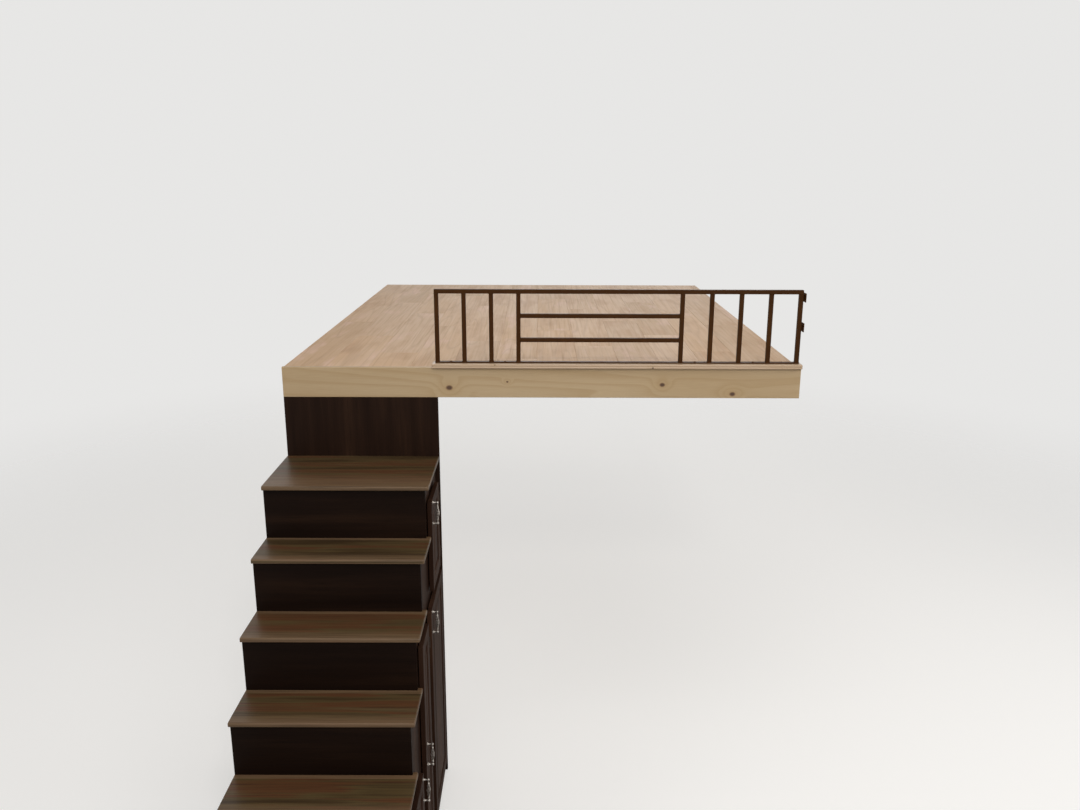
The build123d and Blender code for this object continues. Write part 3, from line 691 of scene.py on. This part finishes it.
def make_floor_boards(finish):
    low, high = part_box("laminate_floor")
    draw = random.Random(7)
    bm = new_bmesh()
    x, row = low.x, 0
    while x < high.x - SLIVER:
        right = min(x + BOARD_WIDTH, high.x)
        y = low.y - ((row * BOARD_STAGGER) % 1.0) * BOARD_LENGTH
        while y < high.y - SLIVER:
            near, far = max(y, low.y), min(y + BOARD_LENGTH, high.y)
            if far - near > SHORTEST_BOARD:
                corner = (x + BOARD_GAP / 2, near + BOARD_GAP / 2, low.z)
                other = (right - BOARD_GAP / 2, far - BOARD_GAP / 2, high.z)
                add_block(bm, corner, other, BOARD_EASE, draw.random())
            y += BOARD_LENGTH
        x += BOARD_WIDTH
        row += 1
    put("laminate_boards", bm, [finish["laminate"]], instead_of=["laminate_floor"])


# Moulded cap under the guardrail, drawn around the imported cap: a round at its top edge, a groove along
# its front with its four heights above the deck, and a lip that hangs in front of the fascia

CAP_ROUND, CAP_ROUND_STEPS = 0.004, 8
CAP_GROOVE_HEIGHTS = (0.0105, 0.0085, 0.0075, 0.0055)
CAP_GROOVE_DEPTH = 0.0015
CAP_LIP, CAP_LIP_EASE = 0.0048, 0.001
CAP_BACK_EASE = 0.002
CAP_LENGTHS = 40


def cap_outline(low, high):
    """Points in Y and Z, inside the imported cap's corners."""
    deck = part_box("fascia_board")[1].z
    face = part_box("fascia_board")[0].y
    front, groove = low.y, low.y + CAP_GROOVE_DEPTH
    outline = []
    for n in range(CAP_ROUND_STEPS + 1):
        angle = math.pi / 2 * n / CAP_ROUND_STEPS
        y = front + CAP_ROUND * (1 - math.sin(angle))
        outline.append((y, high.z - CAP_ROUND * (1 - math.cos(angle))))
    outline += [(y, deck + up) for y, up in zip((front, groove, groove, front), CAP_GROOVE_HEIGHTS)]
    outline += [(front, deck + CAP_GROOVE_DEPTH), (groove, deck)]
    outline += [(face - CAP_LIP, deck), (face - CAP_LIP, low.z + CAP_LIP_EASE)]
    outline += [(face - CAP_LIP + CAP_LIP_EASE, low.z), (face, low.z), (face, deck)]
    outline += [(high.y, deck), (high.y, high.z - CAP_BACK_EASE), (high.y - CAP_BACK_EASE, high.z)]
    return outline


def make_cap(finish):
    low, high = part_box("rail_cap")
    outline = cap_outline(low, high)
    part = bmesh.new()
    loops = []
    for n in range(CAP_LENGTHS + 1):
        x = low.x + (high.x - low.x) * n / CAP_LENGTHS
        loops.append([part.verts.new((x, y, z)) for y, z in outline])
    join_loops(part, loops)
    part.faces.new(loops[0])
    part.faces.new(loops[-1])
    bm = new_bmesh()
    add_part(bm, part)
    put("cap_moulding", bm, [finish["cap"]], instead_of=["rail_cap"], smooth_angle=50)


# Weld beads around the guardrail's joints, and the screws that hold it

WELD_RADIUS = 0.0021
WELD_FLATTENING = 0.85
WELD_RIPPLE, WELD_RIPPLE_STEP, WELD_UNEVENNESS = 0.22, 2.1, 0.12
WELD_SIDES, WELD_STEPS = 7, 10
TUBE_CORNER = 0.0025


def add_weld(bm, centre, axis, half, draw):
    """A rippled bead round a square tube of the given half size, which runs along axis into a flat face."""
    across = [n for n in range(3) if n != axis]
    path = []
    for k in range(4):
        for n in range(4):
            angle = math.pi / 2 * (k + n / 3)
            sx, sy = ((1, 1), (-1, 1), (-1, -1), (1, -1))[k]
            a = sx * (half - TUBE_CORNER) + TUBE_CORNER * math.cos(angle)
            b = sy * (half - TUBE_CORNER) + TUBE_CORNER * math.sin(angle)
            path.append((a, b))
    dense = []
    for n, (a, b) in enumerate(path):
        c, d = path[(n + 1) % len(path)]
        steps = WELD_STEPS if math.hypot(c - a, d - b) > half else 1
        dense += [(a + (c - a) * s / steps, b + (d - b) * s / steps) for s in range(steps)]
    part = bmesh.new()
    loops = []
    for n, (a, b) in enumerate(dense):
        length = math.hypot(a, b)
        swell = WELD_RIPPLE * math.sin(n * WELD_RIPPLE_STEP) + WELD_UNEVENNESS * (draw.random() - 0.5)
        radius = WELD_RADIUS * WELD_FLATTENING * (1 + swell)
        ring = []
        for k in range(WELD_SIDES):
            angle = 2 * math.pi * k / WELD_SIDES
            out = radius * math.cos(angle)
            place = [0.0, 0.0, 0.0]
            place[across[0]] = a + a / length * out
            place[across[1]] = b + b / length * out
            place[axis] = radius * math.sin(angle)
            ring.append(part.verts.new(Vector(centre) + Vector(place)))
        loops.append(ring)
    join_loops(part, loops, closed=True)
    add_part(bm, part)


def tube_places(name):
    """Lowest and highest corner of each loose bar in a CAD node."""
    mesh = nodes[name].data
    bm = bmesh.new()
    bm.from_mesh(mesh)
    bmesh.ops.remove_doubles(bm, verts=bm.verts, dist=SAME_POINT)
    boxes, seen = [], set()
    for start in bm.verts:
        if start in seen:
            continue
        stack, island = [start], []
        seen.add(start)
        while stack:
            vert = stack.pop()
            island.append(vert.co.copy())
            for edge in vert.link_edges:
                other = edge.other_vert(vert)
                if other not in seen:
                    seen.add(other)
                    stack.append(other)
        boxes.append((Vector([min(c[n] for c in island) for n in range(3)]),
                      Vector([max(c[n] for c in island) for n in range(3)])))
    bm.free()
    return boxes


def make_welds(finish):
    draw = random.Random(11)
    bm = new_bmesh()
    for low, high in tube_places("guard_uprights"):
        half = (high.x - low.x) / 2
        middle = (low + high) / 2
        for z in (low.z, high.z):
            add_weld(bm, (middle.x, middle.y, z), 2, half, draw)
    for low, high in tube_places("guard_mid_bars"):
        half = (high.z - low.z) / 2
        middle = (low + high) / 2
        for x in (low.x, high.x):
            add_weld(bm, (x, middle.y, middle.z), 0, half, draw)
    put("guard_weld_beads", bm, [finish["paint"]], smooth_angle=75)


# Screw head, as shares of its radius and height: its rings, and the cross recess that tapers to its floor
HEAD_RINGS = ((1.0, 0.0), (1.0, 0.25), (0.93, 0.55), (0.72, 0.85), (0.40, 0.98))
HEAD_SIDES = 16
ARM_REACH, CORNER_REACH, ARM_WIDTH = 0.38, 0.12, 0.55
RECESS_TOP, RECESS_FLOOR, RECESS_TAPER = 0.97, 0.35, 0.9


def add_screw(bm, centre, facing, radius, height):
    """A domed screw head with a cross recess, which looks along facing."""
    part = bmesh.new()
    angles = [2 * math.pi * (k + 0.5) / HEAD_SIDES for k in range(HEAD_SIDES)]

    def ring(reaches, up):
        places = [(reach * math.cos(angle), reach * math.sin(angle)) for reach, angle in zip(reaches, angles)]
        return [part.verts.new((radius * x, radius * y, height * up)) for x, y in places]

    cross = [ARM_REACH if abs(math.cos(2 * angle)) > ARM_WIDTH else CORNER_REACH for angle in angles]
    loops = [ring([share] * HEAD_SIDES, up) for share, up in HEAD_RINGS]
    loops.append(ring(cross, RECESS_TOP))
    loops.append(ring([RECESS_TAPER * reach for reach in cross], RECESS_FLOOR))
    join_loops(part, loops)
    part.faces.new(loops[0])
    part.faces.new(loops[-1])
    turn = Vector((0, 0, 1)).rotation_difference(Vector(facing)).to_matrix().to_4x4()
    bmesh.ops.transform(part, matrix=Matrix.Translation(centre) @ turn, verts=part.verts)
    add_part(bm, part)


# Radius and height of each kind of head, and the brackets' pattern of four
BAR_SCREW = (0.0048, 0.0026)
BRACKET_SCREW = (0.0042, 0.0022)
BRACKET_SCREW_OFFSET = 0.0125
BRACKET_PLATE = 0.004


def make_guard_screws(finish):
    bm = new_bmesh()
    bar_low, bar_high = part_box("guard_bottom_bar")
    middle_y = (bar_low.y + bar_high.y) / 2
    places = sorted((low.x + high.x) / 2 for low, high in tube_places("guard_uprights"))
    gaps = list(zip(places, places[1:]))
    for left, right in gaps[::2]:
        add_screw(bm, ((left + right) / 2, middle_y, bar_high.z), (0, 0, 1), *BAR_SCREW)
    for low, high in tube_places("guard_wall_brackets"):
        middle = (low + high) / 2
        for dy in (-BRACKET_SCREW_OFFSET, BRACKET_SCREW_OFFSET):
            for dz in (-BRACKET_SCREW_OFFSET, BRACKET_SCREW_OFFSET):
                centre = (high.x - BRACKET_PLATE, middle.y + dy, middle.z + dz)
                add_screw(bm, centre, (-1, 0, 0), *BRACKET_SCREW)
    put("guard_screws", bm, [finish["paint"]])


# Nails of the joist hangers: those in the ledger by share of the hanger's height and distance from its
# side, those in the joist by share of the height

HANGER_NAIL = (0.0036, 0.0012)
LEDGER_NAILS = ((0.2, 0.010), (0.5, 0.022), (0.82, 0.010))
JOIST_NAILS = (0.45, 0.8)
HANGER_SHEET = 0.002
JOIST_NAIL_ALONG, JOIST_NAIL_ASIDE = 0.028, 0.021


def make_hanger_nails(finish):
    bm = new_bmesh()
    for low, high in tube_places("joist_hangers"):
        left_side = low.x < 0
        ledger = low.x if left_side else high.x
        facing = 1 if left_side else -1
        middle = (low.y + high.y) / 2
        for hand in (-1, 1):
            for share, inset in LEDGER_NAILS:
                z = low.z + share * (high.z - low.z)
                y = (low.y if hand < 0 else high.y) - hand * inset
                add_screw(bm, (ledger + facing * HANGER_SHEET, y, z), (facing, 0, 0), *HANGER_NAIL)
            for share in JOIST_NAILS:
                z = low.z + share * (high.z - low.z)
                centre = (ledger + facing * JOIST_NAIL_ALONG, middle + hand * JOIST_NAIL_ASIDE, z)
                add_screw(bm, centre, (0, hand, 0), *HANGER_NAIL)
    put("hanger_nails", bm, [finish["zinc"]])


# Cupboard doors: stiles, rails, and the moulded edges that hold their panels

DOOR_STILE = 0.058
STICKING = 0.009
JOINT_EASE = 0.0005
OUTER_EASE = 0.0015
SQUARE_ANGLE = math.radians(70)
TOUCHING = 0.000001
PANEL_PLAY = 0.0002
PANEL_THICK = 0.007
FIELD_INSET, FIELD_BEVEL, FIELD_RISE, FIELD_ROOT = 0.061, 0.028, 0.0055, 0.001
FOOT_PANEL_EASE = 0.0003
STILE_WOOD, RAIL_WOOD = 0, 1


def add_member(bm, low, high, outer, board, wood):
    """A stile or rail, eased, whose front edges are rounded on the door's outline: outer's (axis, place)."""
    part = sharp_box(low, high)

    def on(edge, axis, place):
        return all(abs(vert.co[axis] - place) < TOUCHING for vert in edge.verts)

    front = [edge for edge in part.edges if on(edge, 0, high[0])]
    rounded = [edge for edge in front if any(on(edge, axis, place) for axis, place in outer)]
    bmesh.ops.bevel(part, geom=rounded, offset=OUTER_EASE, segments=3, affect="EDGES", profile=0.5)
    sharp = [edge for edge in part.edges if edge.is_manifold and edge.calc_face_angle(0) > SQUARE_ANGLE]
    bmesh.ops.bevel(part, geom=sharp, offset=JOINT_EASE, segments=1, affect="EDGES")
    for face in part.faces:
        face.material_index = wood
    add_part(bm, part, board)


def add_sticking(bm, low, high, outline, board):
    """A mitred ring of the given outline, whose points are (distance inwards, x), inside a rectangle."""
    part = bmesh.new()
    loops = []
    for along, up in ((0, 0), (1, 0), (1, 1), (0, 1)):
        corner = []
        for inwards, x in outline:
            y = (low.y + inwards) if along == 0 else (high.y - inwards)
            z = (low.z + inwards) if up == 0 else (high.z - inwards)
            corner.append(part.verts.new((x, y, z)))
        loops.append(corner)
    for n, face in enumerate(join_loops(part, loops, closed=True)):
        side = n // len(outline)
        face.material_index = RAIL_WOOD if side % 2 == 0 else STILE_WOOD
    add_part(bm, part, board)


# Front of the moulded edge: a quirk, as distances inwards and down from the flat, and then an ovolo
QUIRK = ((0.0, 0.0003), (0.0008, 0.0003), (0.0014, 0.0012), (0.0020, 0.0012))
OVOLO_WIDE, OVOLO_DEEP, OVOLO_STEPS = 0.0060, 0.0048, 7
OVOLO_FOOT = 0.0062
BACK_EASE = 0.0006


def front_sticking(face_x, panel_x):
    """Outline of the moulded edge from the flat down to the panel's front."""
    outline = [(inwards, face_x - down) for inwards, down in QUIRK]
    start, top = outline[-1]
    for n in range(1, OVOLO_STEPS + 1):
        angle = math.pi / 2 * n / OVOLO_STEPS
        outline.append((start + OVOLO_WIDE * math.sin(angle), top - OVOLO_DEEP * (1 - math.cos(angle))))
    bottom = panel_x + PANEL_PLAY
    return [*outline, (STICKING, face_x - OVOLO_FOOT), (STICKING, bottom), (0.0, bottom)]


def back_sticking(back_x, panel_x):
    """Outline of the plain edge behind the panel."""
    top = panel_x - PANEL_PLAY
    eased = [(STICKING, back_x + BACK_EASE), (STICKING - BACK_EASE, back_x)]
    return [(0.0, top), (STICKING, top), *eased, (0.0, back_x)]


def add_framed_front(bm, low, high, panel_low_x, panel_high_x, draw):
    """Stiles over the whole height, rails between them, and the moulded edge on each side of the panel."""
    flat = DOOR_STILE - STICKING
    inner_low = Vector((low.x, low.y + flat, low.z + flat))
    inner_high = Vector((high.x, high.y - flat, high.z - flat))
    bottom, top = (2, low.z), (2, high.z)
    for corner, other, outer, wood in (
        (low, (high.x, inner_low.y, high.z), [(1, low.y), bottom, top], STILE_WOOD),
        ((low.x, inner_high.y, low.z), high, [(1, high.y), bottom, top], STILE_WOOD),
        ((low.x, inner_low.y, low.z), (high.x, inner_high.y, inner_low.z), [bottom], RAIL_WOOD),
        ((low.x, inner_low.y, inner_high.z), (high.x, inner_high.y, high.z), [top], RAIL_WOOD),
    ):
        add_member(bm, corner, other, outer, draw.random(), wood)
    add_sticking(bm, inner_low, inner_high, front_sticking(high.x, panel_high_x), draw.random())
    if panel_low_x is not None:
        add_sticking(bm, inner_low, inner_high, back_sticking(low.x, panel_low_x), draw.random())


def add_raised_field(bm, x, low, high, board):
    """The same bevelled field that the doors' panels have, narrower where the panel is."""
    part = bmesh.new()
    rings = []
    bevel = min(FIELD_BEVEL, (high.y - low.y - 2 * FIELD_INSET) / 3)
    steps = ((x - FIELD_ROOT, FIELD_INSET), (x, FIELD_INSET), (x + FIELD_RISE, FIELD_INSET + bevel))
    for place, inset in steps:
        corners = ((low.y + inset, low.z + inset), (high.y - inset, low.z + inset),
                   (high.y - inset, high.z - inset), (low.y + inset, high.z - inset))
        rings.append([part.verts.new((place, y, z)) for y, z in corners])
    join_loops(part, rings)
    part.faces.new(rings[-1])
    part.faces.new(rings[0][::-1])
    add_part(bm, part, board)


def make_door_frames(finish):
    draw = random.Random(23)
    woods = [finish["door_z"], finish["door_y"]]
    for door in DOORS:
        low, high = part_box(f"{door}_frame")
        panel_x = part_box(f"{door}_panel")[0].x
        bm = new_bmesh()
        add_framed_front(bm, low, high, panel_x, panel_x + PANEL_THICK, draw)
        put(f"{door}_stiles_and_rails", bm, woods, door, [f"{door}_frame"])
    low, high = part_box("foot_panel")
    panel_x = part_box("low_door_panel")[0].x + PANEL_THICK
    bm = new_bmesh()
    add_framed_front(bm, low, high, None, panel_x, draw)
    flat, board = DOOR_STILE - STICKING, draw.random()
    corner, other = (low.x, low.y + flat, low.z + flat), (panel_x, high.y - flat, high.z - flat)
    add_block(bm, corner, other, FOOT_PANEL_EASE, board)
    add_raised_field(bm, panel_x, low, high, board)
    put("foot_front", bm, woods, instead_of=["foot_panel"])


# Cage pulls: four twisted wires between two stems, each of which starts from a ball on a turned foot

PULL_SWELL = 0.0085
FOOT_MARGIN = 0.0045
BALL_RADIUS = 0.0058
CAGE_HALF = 0.028
CAGE_TURN = math.radians(200)
CAGE_WIRE, CAGE_WIRE_SIDES, CAGE_STEPS = 0.0017, 8, 36
CAGE_THROAT, CAGE_FULLNESS = 0.0016, 0.85
TURNED_SIDES, BALL_SIDES, BALL_STEPS, BALL_POLE = 20, 18, 10, 0.0002

# Distance and radius: the foot's rose from the door, and the stem from the ball in shares of its length
ROSE = ((0.0, 0.0072), (0.0014, 0.0075), (0.0024, 0.0068), (0.0032, 0.0050), (0.0070, 0.0040))
STEM = (
    (0.0, 0.0034), (0.35, 0.0029), (0.62, 0.0029), (0.70, 0.0036), (0.76, 0.0046), (0.82, 0.0038),
    (0.88, 0.0048), (0.97, 0.0050), (1.03, 0.0044), (1.06, 0.0026),
)


def add_turned(bm, start, direction, profile, sides=TURNED_SIDES):
    """A turned shape along direction: profile is a list of (distance, radius)."""
    start, direction = Vector(start), Vector(direction)
    add_tube(bm, [start + direction * d for d, _ in profile], [r for _, r in profile], sides)


def add_ball(bm, centre):
    profile = []
    for n in range(BALL_STEPS + 1):
        angle = math.pi * n / BALL_STEPS
        profile.append((-BALL_RADIUS * math.cos(angle), max(BALL_RADIUS * math.sin(angle), BALL_POLE)))
    add_turned(bm, centre, (0, 0, 1), profile, BALL_SIDES)


def add_cage(bm, x, y, z):
    for wire in range(4):
        points = []
        for n in range(CAGE_STEPS + 1):
            share = n / CAGE_STEPS
            swell = math.sin(math.pi * share) ** CAGE_FULLNESS
            out = CAGE_THROAT + (PULL_SWELL - CAGE_WIRE - CAGE_THROAT) * swell
            angle = math.pi / 2 * wire + CAGE_TURN * share
            up = (2 * share - 1) * CAGE_HALF
            points.append((x + out * math.cos(angle), y + out * math.sin(angle), z + up))
        add_tube(bm, points, [CAGE_WIRE] * len(points), CAGE_WIRE_SIDES)


def make_pulls(finish):
    for door in DOORS:
        low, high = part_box(f"{door}_pull")
        x = high.x - PULL_SWELL
        y, z = (low.y + high.y) / 2, (low.z + high.z) / 2
        foot = (high.z - low.z) / 2 - FOOT_MARGIN
        reach, stem = x - low.x, foot - CAGE_HALF
        post = ((reach * 0.55, 0.0034), (reach - 0.005, 0.0040), (reach, 0.0044))
        bm = new_bmesh()
        for hand in (-1, 1):
            end = z + hand * foot
            add_turned(bm, (low.x, y, end), (1, 0, 0), [*ROSE, *post])
            add_ball(bm, (x, y, end))
            add_turned(bm, (x, y, end), (0, 0, -hand), [(stem * share, radius) for share, radius in STEM])
        add_cage(bm, x, y, z)
        put(f"{door}_cage_pull", bm, [finish["pewter"]], door, [f"{door}_pull"], 60)


# Screws in the hinges' fixed leaves

HINGE_SCREW = (0.0027, 0.0008)
HINGE_SCREW_ROWS = (-0.0155, 0.0, 0.0155)
HINGE_SCREW_INSET = 0.006
HINGE_LEAF = 0.002


def make_hinge_screws(finish):
    bm = new_bmesh()
    plates = tube_places("frame_hinges")
    for door in DOORS:
        frame_low, frame_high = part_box(f"{door}_frame")
        for knuckle_low, knuckle_high in tube_places(f"{door}_hinges"):
            knuckle = (knuckle_low + knuckle_high) / 2
            low, high = min(plates, key=lambda box: ((box[0] + box[1]) / 2 - knuckle).length)
            far_side = knuckle.y > (frame_low.y + frame_high.y) / 2
            y = high.y - HINGE_SCREW_INSET if far_side else low.y + HINGE_SCREW_INSET
            for dz in HINGE_SCREW_ROWS:
                centre = (low.x + HINGE_LEAF, y, (low.z + high.z) / 2 + dz)
                add_screw(bm, centre, (1, 0, 0), *HINGE_SCREW)
    put("hinge_screws", bm, [finish["bronze"]])


make_camera()
make_stage()
make_world()
make_lamps()
finish = make_finishes()
dress_cad_nodes(finish)
make_floor_boards(finish)
make_cap(finish)
make_welds(finish)
make_guard_screws(finish)
make_hanger_nails(finish)
make_door_frames(finish)
make_pulls(finish)
make_hinge_screws(finish)
